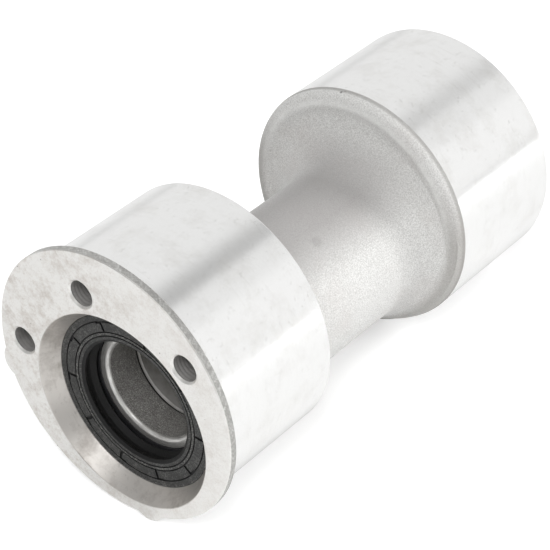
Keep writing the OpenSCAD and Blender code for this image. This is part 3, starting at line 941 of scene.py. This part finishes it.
@dataclass
class LipSeal:
    """One lip seal: the rubber with its grooved and slotted face, and the coiled spring behind its lip.

    Attributes:
        seat: The bore's axis, from the seal's face inwards.
        slot_angles: Angles of the slots in the face, from +X towards +Z.
        grooves: Inner and outer radius of each ring groove in the face.
        groove_depth: Depth of the grooves and slots.
        foot_turn: Angle from a slot to its foot, which is foot_l long and foot_w wide.
        spring_ring_r, spring_y: Radius and depth under the face of the circle that the spring lies on.
        coil_r: Radius of the spring's outside.
        wire: Thickness of its wire; a little thicker than the real 0.3 mm, with fewer turns.
    """

    seat: Seat
    slot_angles: tuple[float, ...] = (0, 38, 77, 116, 151.5, 186, 221, 255, 288.5, 324)
    outer_r: float = 30.98
    grooves: tuple[tuple[float, float], ...] = ((23.3, 23.7), (24.6, 25.0), (28.3, 28.7))
    groove_depth: float = 0.5
    slot_w: float = 1.0
    foot_turn: float = 2.4
    foot_l: float = 0.9
    foot_w: float = 2.6
    spring_ring_r: float = 23.0
    spring_y: float = 5.4
    coil_r: float = 0.7
    wire: float = 0.36
    turns: int = 300

    def outline(self) -> Outline:
        """Gives the rubber's half section, its face at 0, with the lips and all edges rounded."""
        out, skin_r, deep = self.outer_r, self.outer_r - 0.8, self.groove_depth
        corners = [
            (out - 0.3, 0.0, 0.12), (out, 0.3, 0.12), (out, 6.4, 0.2), (out - 0.3, 7.0, 0.12), (skin_r, 7.0),
            (skin_r, 1.3), (24.4, 1.3), (24.4, 2.3, 0.1), (22.9, 2.7, 0.25), (22.9, 4.69), (22.5, 4.87, 0.1),
            (22.28, 5.4, 0.2), (22.5, 5.93, 0.1), (22.9, 6.11), (22.9, 6.6, 0.15), (22.1, 6.6, 0.2),
            (20.8, 5.4, 0.08), (22.2, 3.7, 0.5), (22.2, 2.3, 0.3), (21.2, 1.2, 0.15), (21.2, 0.7, 0.15),
            (22.3, 0.0, 0.3),
        ]
        for inner, outer in self.grooves:
            corners += [(inner, 0.0, 0.1), (inner, deep, 0.08), (outer, deep, 0.08), (outer, 0.0, 0.1)]
        return rounded(corners, 3)

    def block(self, angle: float, radius: float, long: float, wide: float) -> Object:
        """Makes a bevelled block that lies along a radius of the face, for cutting."""
        made = primitive(
            "block", bpy.ops.mesh.primitive_cube_add, size=1, location=self.seat.place(radius, 0, angle),
            rotation=(0, -math.radians(angle), 0), scale=(long * MM, 2 * self.groove_depth * MM, wide * MM))
        settle(made)
        bpy.ops.object.mode_set(mode="EDIT")
        bpy.ops.mesh.select_all(action="SELECT")
        bpy.ops.mesh.bevel(offset=0.08 * MM, segments=1, affect="EDGES")
        bpy.ops.object.mode_set(mode="OBJECT")
        return made

    def slot_cutter(self, angle: float) -> Object:
        """Makes the cutter for one slot: a narrow radial block with a foot in the outer ring groove."""
        inner, outer = self.grooves[1][1] - 0.05, self.grooves[2][0] + 0.05
        made = self.block(angle, (inner + outer) / 2, outer - inner, self.slot_w)
        work(made, self.block(angle + self.foot_turn, outer - 0.1, self.foot_l, self.foot_w), Join.ADD)
        return made

    def rubber(self, name: str, finish: Material) -> Object:
        """Makes the seal's rubber."""
        made = turned(name, self.outline(), self.seat, 120, closed=True)
        work(made, joined([self.slot_cutter(a) for a in self.slot_angles]), Join.CUT)
        made.data.materials.clear()
        made.data.materials.append(finish)
        smoothed(made, 40)
        return made

    def spring(self, name: str, finish: Material) -> Object:
        """Makes the garter spring as a real coil: wound straight, then bent round until its ends meet."""
        wire_r = self.wire / 2
        made = primitive(name, bpy.ops.mesh.primitive_circle_add, vertices=6, radius=wire_r * MM,
                         location=(0, (self.coil_r - wire_r) * MM, 0))
        settle(made)
        modify(made, "SCREW", axis="X", angle=FULL_TURN, iterations=self.turns, steps=10, render_steps=10,
               screw_offset=FULL_TURN * self.spring_ring_r / self.turns * MM)
        modify(made, "SIMPLE_DEFORM", deform_method="BEND", deform_axis="Z", angle=FULL_TURN)
        bpy.ops.object.origin_set(type="ORIGIN_GEOMETRY", center="BOUNDS")
        made.rotation_euler.x = math.pi / 2
        made.location = self.seat.place(0, self.spring_y)
        bpy.ops.object.mode_set(mode="EDIT")
        close_up(made)
        bpy.ops.object.shade_smooth()
        made.data.materials.append(finish)
        return made


@dataclass
class InnerRing:
    """A bearing's inner ring: ground bore and faces, wide rounded corners and the ball groove.

    Attributes:
        seat: The bore's axis, from the ring's outer face inwards.
        corner: Rounding of the bore's ends.
        land_r, land_l: Radius and length of the lands under the shields.
        shoulder_r: Radius of the shoulders beside the groove.
        pitch_r: Radius of the balls' circle.
        groove_bend: Radius of the groove's section.
    """

    seat: Seat
    width: float
    bore_r: float = 17.5
    corner: float = 1.5
    land_r: float = 21.0
    land_l: float = 2.1
    shoulder_r: float = 21.9
    pitch_r: float = 24.25
    groove_bend: float = 4.0

    def build(self, name: str, finishes: Sequence[Material]) -> Object:
        """Makes the ring; the finishes are for its faces and corners, its lapped groove and its bore."""
        middle = self.width / 2
        half = math.degrees(math.acos((self.pitch_r - self.shoulder_r) / self.groove_bend))
        groove = arc(self.pitch_r, middle, self.groove_bend, 180 + half, 180 - half, 14)
        lower = [(self.shoulder_r, middle), (self.bore_r, middle), (self.bore_r, 0, self.corner),
                 (self.land_r, 0, 0.3), (self.land_r, self.land_l, 0.15), (self.shoulder_r, self.land_l, 0.2)]
        points = rounded(lower, 6)[2:]
        upper = [(r, self.width - y) for r, y in reversed(points)]
        made = turned(name, points + groove + upper, self.seat, 128, closed=True)
        for finish in finishes:
            made.data.materials.append(finish)
        faces, groove_floor, bore = range(3)
        for polygon in made.data.polygons:
            centre = polygon.center / MM
            radius = self.seat.radius(centre)
            in_groove = abs(abs(centre.y - self.seat.y) - middle) < 3.3 and radius < self.shoulder_r
            polygon.material_index = faces
            if in_groove and radius > self.pitch_r - self.groove_bend - 0.1:
                polygon.material_index = groove_floor
            if radius < self.bore_r + 0.05:
                polygon.material_index = bore
        smoothed(made)
        return made


@dataclass
class Studio:
    """The floor, the light and the camera round the object.

    Attributes:
        floor_z: Height of the floor under the flange, mm.
        floor_slope: Slope of the floor, up to the far drum; the part rests on its lip and this drum.
        eye: The camera's place, mm.
        right, up: Where the picture's right side and top point.
        lens: Focal length on a 36 mm sensor, mm.
        cloth: How bright the tent's cloth is; 1 is white.
        front: The share of that brightness which the cloth has on the camera's side.
        panel: Azimuth and elevation of the tent's bright panel, degrees.
        panel_full, panel_end: How far from its middle it is fully bright and has faded out, degrees.
        panel_gain: How much brighter than the cloth it is.
        gap_depth: How much darker the gap above the tent's bright right side is, from 0 to 1.
    """

    floor_z: float = -48.0
    floor_slope: float = 0.0232
    eye: tuple[float, float, float] = (335.41, -334.64, 401.82)
    right: tuple[float, float, float] = (0.77445, 0.63264, 0.0)
    up: tuple[float, float, float] = (-0.38411, 0.47022, 0.79458)
    lens: float = 132.3
    cloth: float = 0.86
    front: float = 0.5
    panel: tuple[float, float] = (-66, 54)
    panel_full: float = 12
    panel_end: float = 25
    panel_gain: float = 2.9
    gap_depth: float = 0.48

    def camera(self) -> None:
        """Makes the camera at the photograph's angle."""
        data = bpy.data.cameras.new("camera")
        data.lens, data.sensor_width = self.lens, 36
        data.clip_start, data.clip_end = 0.01, 50
        camera = bpy.data.objects.new("camera", data)
        bpy.context.scene.collection.objects.link(camera)
        right, up = Vector(self.right).normalized(), Vector(self.up).normalized()
        turn = Matrix((right, up, right.cross(up))).transposed().to_4x4()
        camera.matrix_world = Matrix.Translation(Vector(self.eye) * MM) @ turn
        bpy.context.scene.camera = camera

    def floor(self) -> None:
        """Makes the pale floor, which the camera sees white, with the object's shadow."""
        floor = primitive("floor", bpy.ops.mesh.primitive_plane_add, size=8,
                          location=(0, 0, self.floor_z * MM))
        floor.rotation_euler.x = math.atan(self.floor_slope)
        settle(floor)
        material = bpy.data.materials.new("white_floor")
        material.use_nodes = True
        shader = shader_of(material.node_tree)
        camera_ray = Value(add(material.node_tree, "LightPath").outputs["Is Camera Ray"])
        for key, value in {
            "Base Color": "#e5e5e5", "Roughness": 0.9, "Specular IOR Level": 0.0,
            "Emission Color": "#ffffff", "Emission Strength": camera_ray * 0.34,
        }.items():
            feed(shader.inputs[key], value)
        floor.data.materials.append(material)

    def tent(self) -> None:
        """Makes the world: a light tent, brighter at its right, with one dark gap between two cloths."""
        world = bpy.data.worlds.new("tent")
        bpy.context.scene.world = world
        world.use_nodes = True
        tree = world.node_tree
        direction = add(tree, "TexCoord").outputs["Generated"]
        azimuth, rise = (math.radians(angle) for angle in self.panel)
        panel = (math.cos(rise) * math.cos(azimuth), math.cos(rise) * math.sin(azimuth), math.sin(rise))
        cosine = add(tree, "VectorMath", {0: direction, 1: panel}, operation="DOT_PRODUCT")
        degrees = 180 / math.pi
        away = Value(cosine.outputs["Value"]).maths("MINIMUM", 1.0).maths("ARCCOSINE") * degrees
        level = away.fade(self.panel_full, self.panel_end, self.panel_gain, 0.0) + self.cloth
        x, y, z = (Value(out) for out in add(tree, "SeparateXYZ", {0: direction}).outputs)
        # The drums mirror the tent as turns about their axis: 0 is the right side, 90 the top.
        turn = z.maths("ARCTAN2", x) * degrees
        level = (level + turn.fade(44.0, 54.0, 0.12, 0.0)) * y.fade(-0.2, 0.1, self.front, 1.0)
        gap = turn.fade(71.5, 74.0, 0.0, 1.0) * turn.fade(80.0, 100.0, 1.0, 0.0)
        reach = y.fade(0.1, 0.35, 0.0, 1.0) * y.fade(0.61, 0.70, 1.0, 0.4)
        table_edge = abs(turn).fade(3.0, 7.0, 0.35, 0.0) * y.fade(0.64, 0.69, 0.0, 1.0)
        level = level - level * (gap * reach * self.gap_depth).maths("MAXIMUM", table_edge)
        camera_ray = add(tree, "LightPath").outputs["Is Camera Ray"]
        seen = add(tree, "Mix", {0: camera_ray, 2: level, 3: 1.0}, data_type="FLOAT").outputs[0]
        background = shader_of(tree, "BACKGROUND")
        feed(background.inputs["Strength"], seen)
        feed(background.inputs["Color"], "#ffffff")

    def lamp(self, name: str, place: tuple[float, float, float], size: float, power: float) -> None:
        """Hangs a square softbox at a place in metres, turned to the object.

        It lights matt surfaces only; bare metal mirrors the tent's bright panel, which doesn't burn out.
        """
        data = bpy.data.lights.new(name, "AREA")
        data.size, data.energy = size, power
        lamp = bpy.data.objects.new(name, data)
        bpy.context.scene.collection.objects.link(lamp)
        lamp.visible_glossy = False
        lamp.location = place
        aim = Vector((0, 0.085, 0)) - Vector(place)
        lamp.rotation_euler = aim.to_track_quat("-Z", "Y").to_euler()

    def build(self) -> None:
        """Makes all of it."""
        self.camera()
        self.floor()
        self.tent()
        self.lamp("side_softbox", (1.07, 1.05, 0.41), 0.5, 14.0)
        self.lamp("front_softbox", (0.36, -0.60, 0.92), 0.4, 6.5)


@dataclass
class AxleCarrier:
    """The whole object: new pieces that stand for CAD nodes, and finishes for the CAD nodes that stay."""

    lines: Lines = field(default_factory=Lines)

    def fit(self, piece: Object, body: str, slot: str, *nodes: str) -> None:
        """Lets a piece ride on a body and hides the CAD nodes that it stands for."""
        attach(piece, body)
        if nodes:
            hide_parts(*nodes)
        LOG.info("%s: %d faces, rides on %s", piece.name, len(piece.data.polygons), body)

    def casting(self) -> None:
        """Builds the casting and the threads in its holes."""
        casting = Casting(self.lines)
        self.fit(casting.build(), "housing", "cast_aluminium", "carrier")
        thread = casting.tapped("threaded_aluminium").build()
        for name, angle in casting.hole_angles:
            ridge = HoleThread(casting.hole_seat(angle)).build(f"hole_thread_{name}", thread)
            self.fit(ridge, "housing", "cast_aluminium")

    def seals(self) -> None:
        """Builds both lip seals and their springs."""
        places = self.lines.near_seal_y, self.lines.far_seal_y
        rubber = NitrileRubber("nitrile_rubber", self.lines.bore(), faces=places).build()
        wire = DrawnSteel("spring_wire_steel", bright="#b4b3b0", film="#8a8783", roughness=0.3).build()
        for side, seat in self.lines.pair(*places):
            seal = LipSeal(seat)
            lips, coil = seal.rubber(f"{side}_lip_seal", rubber), seal.spring(f"{side}_coiled_spring", wire)
            self.fit(lips, "housing", "seal_rubber", f"{side}_seal_rubber")
            self.fit(coil, "housing", "spring_steel", f"{side}_garter_spring")

    def bearings(self) -> None:
        """Builds both inner rings."""
        lines, bore = self.lines, self.lines.bore()
        joints = lines.near_bearing_y + lines.bearing_w, lines.far_bearing_y - lines.bearing_w
        finishes = [
            GroundSteel("ground_ring_steel", bore, "#f0efec", "#bdbbb8", 0.3, 0.36, 0.6, 0.85, joints),
            GroundSteel("lapped_groove_steel", bore, "#d6d6d4", "#b9b8b5", 0.2, 0.14, 0.1),
            # Painted shade: the bore's steel is darker than the faces' for the shade deep in the bore; its
            # satin finish is its roughness.
            GroundSteel("satin_bore_steel_painted_shade", bore, "#989693", "#72706d", 0.3, 0.4, 0.8, 0.5, joints),
        ]
        materials = [finish.build() for finish in finishes]
        for side, seat in lines.pair(lines.near_bearing_y, lines.far_bearing_y):
            ring = InnerRing(seat, lines.bearing_w).build(f"{side}_ring", materials)
            self.fit(ring, "axle_sleeve", "bearing_steel", f"{side}_inner_ring")

    def remaining_nodes(self, nodes: dict[str, Object]) -> None:
        """Gives each CAD node that stays its finish."""
        finishes: dict[str, Finish] = {
            "spacer_tube": DrawnSteel("drawn_tube_steel", Seat(), "#b9b7b4", "#98958f", 0.45, 0.5),
            "outer_ring": GroundSteel("ground_outer_ring_steel", self.lines.bore(), speckle=0.2),
            "balls": PolishedSteel("lapped_ball_steel"),
            "cage_front": DrawnSteel("pressed_cage_steel", Seat(), "#b2aea4", "#8b867b", 0.38),
            "seal_case": DrawnSteel("pressed_case_steel", Seat(), "#9ea2a5", "#7b7e80", 0.4),
            "shield": NitrileRubber("shield_rubber", Seat(), "#232325", "#38383a", 0.0),
            "cage_rivets": DrawnSteel("rivet_steel", Seat(), "#c6c3bb", "#a29e96", 0.28),
        }
        built = {key: finish.build() for key, finish in finishes.items()}
        built["cage_back"] = built["cage_front"]
        for name, node in nodes.items():
            for key, material in built.items():
                if name.endswith(key):
                    for place in node.material_slots:
                        place.material = material

    def build(self, nodes: dict[str, Object]) -> None:
        """Makes every piece."""
        self.casting()
        self.seals()
        self.bearings()
        self.remaining_nodes(nodes)


def main() -> None:
    """Loads the frame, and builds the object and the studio."""
    logging.basicConfig(level=logging.INFO, format="%(message)s")
    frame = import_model()
    AxleCarrier().build(frame["nodes"])
    Studio().build()
    bpy.context.scene.view_settings.view_transform = "Standard"


if __name__ == "__main__":
    main()
